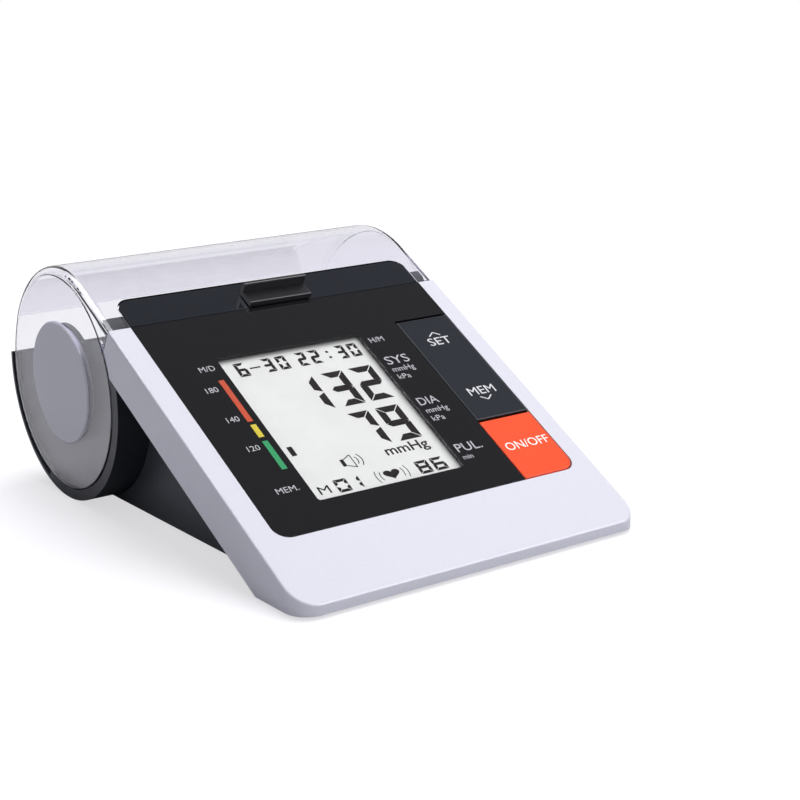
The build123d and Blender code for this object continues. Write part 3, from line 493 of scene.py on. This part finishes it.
def digit(number, x0, x1, s0, s1, thick, gap):
    """Strokes of one number, with slanting ends."""
    middle = (s0 + s1) / 2
    half = thick / 2

    def level_stroke(s, inward):
        return [
            (x0 + gap, s), (x1 - gap, s),
            (x1 - gap - thick, s + inward), (x0 + gap + thick, s + inward),
        ]

    def upright_stroke(x, inward, s, way):
        """From the number's end at s to its middle, up for a way of 1 and down for -1."""
        return [
            (x, s + way * gap), (x + inward, s + way * (gap + thick)),
            (x + inward, middle - way * (half + gap)), (x, middle - way * gap),
        ]

    every = {
        "t": level_stroke(s1, -thick),
        "b": level_stroke(s0, thick),
        "m": [
            (x0 + gap, middle), (x0 + gap + half, middle + half),
            (x1 - gap - half, middle + half), (x1 - gap, middle),
            (x1 - gap - half, middle - half), (x0 + gap + half, middle - half),
        ],
        "L": upright_stroke(x0, thick, s1, -1),
        "l": upright_stroke(x0, thick, s0, 1),
        "T": upright_stroke(x1, -thick, s1, -1),
        "B": upright_stroke(x1, -thick, s0, 1),
    }
    return [every[name] for name in LIT[number]]


HEART_POINTS = 28


def heart(middle_x, low, high, half):
    """Heart curve, which runs 16 to either side, and from 17 below its middle to 12 above."""
    points = []
    for i in range(HEART_POINTS):
        t = 2 * math.pi * i / HEART_POINTS
        x = 16 * math.sin(t) ** 3
        y = 13 * math.cos(t) - 5 * math.cos(2 * t) - 2 * math.cos(3 * t) - math.cos(4 * t)
        points.append((middle_x + x / 16 * half, low + (y + 17) / 29 * (high - low)))
    return points


# Words on the panel: text, left x, right x, base s, top s of the capitals
word_piece(
    "panel_words",
    [
        ("M/D", 23.5, 30.0, 114.6, 117.4), ("H/M", 99.5, 106.0, 114.4, 117.2),
        ("180", 20.5, 25.5, 103.5, 106.2), ("140", 20.5, 25.5, 87.2, 89.9),
        ("120", 20.5, 25.5, 71.7, 74.3), ("MEM.", 20.0, 29.0, 49.7, 52.4),
        ("SYS", 99.3, 110.0, 101.0, 105.4), ("DIA", 99.0, 108.0, 76.8, 80.9),
        ("PUL.", 99.0, 110.5, 50.1, 54.3), ("mmHg", 99.3, 109.5, 96.7, 99.5),
        ("kPa", 99.3, 105.0, 92.4, 95.0), ("mmHg", 99.3, 109.5, 72.3, 75.0),
        ("kPa", 99.3, 105.0, 67.8, 70.5), ("min", 99.0, 103.5, 46.1, 48.5),
    ],
    panel_level, print_grey, "case",
)

# Scale beside the window: the bars' base s and top s
SCALE_LEFT, SCALE_RIGHT = 27.8, 30.1
for name, base, top, colour in (
    ("scale_red_bar", 86.0, 109.0, scale_red),
    ("scale_yellow_bar", 77.5, 84.3, scale_yellow),
    ("scale_green_bar", 60.5, 75.4, scale_green),
):
    bar = box(SCALE_LEFT, SCALE_RIGHT, base, top)
    flat_piece(name, [bar], panel_level, colour, "case")

# Words and arrows on the keys
ARROW_LEFT, ARROW_TIP, ARROW_RIGHT = 126.2, 128.9, 131.5
ARROW_WIDTH = 0.5
arrows = []
for base, tip in ((111.9, 113.9), (74.9, 72.9)):
    arrows += stroke([(ARROW_LEFT, base), (ARROW_TIP, tip), (ARROW_RIGHT, base)], ARROW_WIDTH)
word_piece(
    "power_key_words", [("ON/OFF", 119.3, 139.7, 45.2, 49.2)],
    power_level, key_white, "power_key_body",
)
word_piece(
    "rocker_key_words", [("SET", 123.7, 134.3, 106.5, 110.7), ("MEM", 122.8, 135.3, 76.2, 80.4)],
    rocker_level, print_white, "rocker_key_body",
)
flat_piece(
    "rocker_key_marks", arrows, rocker_level, print_white, "rocker_key_body"
)

# The display. Rows of numbers: base s, top s, thickness of a stroke, gap between strokes, then
# each number with its left x and right x.
SHOWN_NUMBERS = (
    (110.5, 118.0, 1.35, 0.12, (
        ("6", 39.0, 43.5), ("3", 50.7, 55.0), ("0", 57.0, 61.3), ("2", 65.8, 70.0),
        ("2", 71.7, 76.0), ("3", 84.0, 88.0), ("0", 89.7, 94.0),
    )),
    (85.8, 104.7, 3.1, 0.25, (("1", 60.0, 66.4), ("3", 70.2, 80.0), ("2", 82.7, 93.4))),
    (63.3, 81.8, 3.1, 0.25, (("7", 68.5, 78.0), ("9", 81.2, 91.6))),
    (45.7, 52.0, 1.3, 0.15, (("0", 44.2, 49.6), ("1", 50.0, 54.8))),
    (45.5, 52.0, 1.3, 0.15, (("8", 79.8, 85.3), ("6", 86.7, 92.3))),
)
DATE_DASH = (44.7, 49.3, 113.9, 114.6)
TIME_DOTS = ((79.4, 80.5, 112.0, 113.1), (79.4, 80.5, 115.2, 116.3))
SCALE_MARK = (36.4, 38.6, 67.1, 71.9)
SPEAKER_BACK = (52.5, 54.1, 57.1, 60.7)
SPEAKER_CONE = ((54.3, 57.3), (57.6, 55.7), (57.6, 62.2), (54.3, 60.5))
SPEAKER_MIDDLE, SPEAKER_WAVES, SPEAKER_WIDTH, SPEAKER_SPREAD = (57.0, 58.9), (2.6, 4.4), 0.4, 42
HEART_MIDDLE_X, HEART_LOW, HEART_HIGH, HEART_HALF = 68.5, 46.2, 51.0, 3.5
BEAT_MIDDLE, BEAT_WAVES, BEAT_WIDTH, BEAT_SPREAD = (68.5, 48.8), (5.0, 6.9), 0.35, 25
UNIT_WEIGHT = 0.015

segments = []
for base, top, thick, gap, numbers in SHOWN_NUMBERS:
    for number, left, right in numbers:
        segments += digit(number, left, right, base, top, thick, gap)
segments += [box(*sides) for sides in (DATE_DASH, *TIME_DOTS, SCALE_MARK, SPEAKER_BACK)]
segments += stroke(SPEAKER_CONE, SPEAKER_WIDTH)
for radius in SPEAKER_WAVES:
    segments.append(
        band(*SPEAKER_MIDDLE, radius, -SPEAKER_SPREAD, SPEAKER_SPREAD, SPEAKER_WIDTH)
    )
segments.append(heart(HEART_MIDDLE_X, HEART_LOW, HEART_HIGH, HEART_HALF))
for radius in BEAT_WAVES:
    for side in (0, 180):
        segments.append(
            band(*BEAT_MIDDLE, radius, side - BEAT_SPREAD, side + BEAT_SPREAD, BEAT_WIDTH)
        )
flat_piece("display_segments", segments, glass_level, segment_dark, "case")
word_piece(
    "display_words", [("mmHg", 72.3, 91.5, 57.8, 62.2)],
    glass_level, segment_dark, "case", UNIT_WEIGHT,
)
word_piece(
    "display_memory_word", [("M", 36.7, 41.4, 46.7, 50.6)],
    glass_level, segment_dark, "case",
)


# Floor, lamps and white surroundings
def seen_directly(tree, path):
    """1 for what the camera sees, itself or through a clear piece, and 0 for other rays."""
    return maths(tree, "MAXIMUM", path["Is Camera Ray"], path["Transmission Depth"], clamp=True)


FLOOR_SIZE = 40
FLOOR_GLOW_COLOUR = (0.985, 0.975, 1, 1)
FLOOR_GLOW = 0.645
FLOOR_SHADED_COLOUR = (0.37, 0.37, 0.3848, 1)
FLOOR_BOUNCE_COLOUR = (0.52, 0.52, 0.5616, 1)
FLOOR_FADE = (0.35, 0.8)
WHITE = (1, 1, 1, 1)


def floor_surface(tree):
    """White to the camera, with a light shadow close by. It throws a softer light on things."""
    path = tree.nodes.new("ShaderNodeLightPath").outputs
    shaded = add(tree, "ShaderNodeBsdfDiffuse", Color=FLOOR_SHADED_COLOUR)
    glow = add(tree, "ShaderNodeEmission", Color=FLOOR_GLOW_COLOUR, Strength=FLOOR_GLOW)
    both = tree.nodes.new("ShaderNodeAddShader")
    put(tree, both.inputs[0], shaded.outputs["BSDF"])
    put(tree, both.inputs[1], glow.outputs["Emission"])
    white = add(tree, "ShaderNodeEmission", Color=WHITE, Strength=1.0)
    distance = tree.nodes.new("ShaderNodeVectorMath")
    distance.operation = "LENGTH"
    put(tree, distance.inputs[0], place_on_piece(tree))
    far = ramp(tree, distance.outputs["Value"], *FLOOR_FADE)
    plain_white = maths(tree, "MAXIMUM", far, path["Transmission Depth"], clamp=True)
    shown = mix_shaders(tree, plain_white, both.outputs["Shader"], white.outputs["Emission"])
    bounce = add(tree, "ShaderNodeBsdfDiffuse", Color=FLOOR_BOUNCE_COLOUR)
    return mix_shaders(tree, seen_directly(tree, path), bounce.outputs["BSDF"], shown)


def make_floor():
    bpy.ops.mesh.primitive_plane_add(size=FLOOR_SIZE, location=(0, 0, 0))
    floor = bpy.context.object
    floor.name = "floor"
    floor.data.materials.append(make_material("floor_white", floor_surface))


def make_lamp(name, place, aim, size, power):
    """Square lamp, hidden from reflections and from what is seen through clear pieces."""
    data = bpy.data.lights.new(name, "AREA")
    data.shape = "SQUARE"
    data.size = size
    data.energy = power
    lamp = bpy.data.objects.new(name, data)
    lamp.location = place
    lamp.rotation_mode = "QUATERNION"
    lamp.rotation_quaternion = (Vector(aim) - Vector(place)).to_track_quat("-Z", "Y")
    lamp.visible_glossy = False
    lamp.visible_transmission = False
    bpy.context.scene.collection.objects.link(lamp)


AMBIENT = 0.30
# What is reflected: a lighter horizon, a darker sky from these heights on, and bright patches
MIRRORED_COLOUR = (0.95, 0.95, 1, 1)
HORIZON, SKY = 0.8, 0.28
HORIZON_TOP, SKY_START = 0.35, 0.7
PATCH_DIRECTIONS = ((-0.35, 0.33, 0.88), (0.54, -0.53, 0.65))
PATCH_STRENGTH = 8.0
PATCH_EDGE, PATCH_CORE = 0.91, 0.96


def make_world():
    """White to the camera and through clear pieces, softer in reflections and as a light."""
    world = bpy.data.worlds.new("white_room")
    world.use_nodes = True
    tree = world.node_tree
    tree.nodes.clear()
    path = tree.nodes.new("ShaderNodeLightPath").outputs
    direction = tree.nodes.new("ShaderNodeTexCoord").outputs["Generated"]
    rise = add(tree, "ShaderNodeSeparateXYZ", Vector=direction).outputs["Z"]
    level = ramp(tree, rise, HORIZON_TOP, SKY_START, HORIZON, SKY)
    for middle in PATCH_DIRECTIONS:
        toward = along(tree, direction, middle)
        patch = ramp(tree, toward, PATCH_EDGE, PATCH_CORE, 0.0, PATCH_STRENGTH)
        level = maths(tree, "ADD", level, patch)
    white, soft, mirrored = (
        add(tree, "ShaderNodeBackground", Color=colour, Strength=strength).outputs["Background"]
        for colour, strength in ((WHITE, 1.0), (WHITE, AMBIENT), (MIRRORED_COLOUR, level))
    )
    unseen = mix_shaders(tree, path["Is Glossy Ray"], soft, mirrored)
    shown = mix_shaders(tree, seen_directly(tree, path), unseen, white)
    add(tree, "ShaderNodeOutputWorld", Surface=shown)
    bpy.context.scene.world = world


make_floor()
make_world()
make_lamp("lamp_above", place=(0.5, 0.3, 1.6), aim=(0, 0, 0.03), size=1.3, power=38)
make_lamp("lamp_front", place=(0.15, -0.6, 0.06), aim=(0, 0, 0.02), size=0.4, power=1.1)

bpy.context.scene.view_settings.view_transform = "Standard"
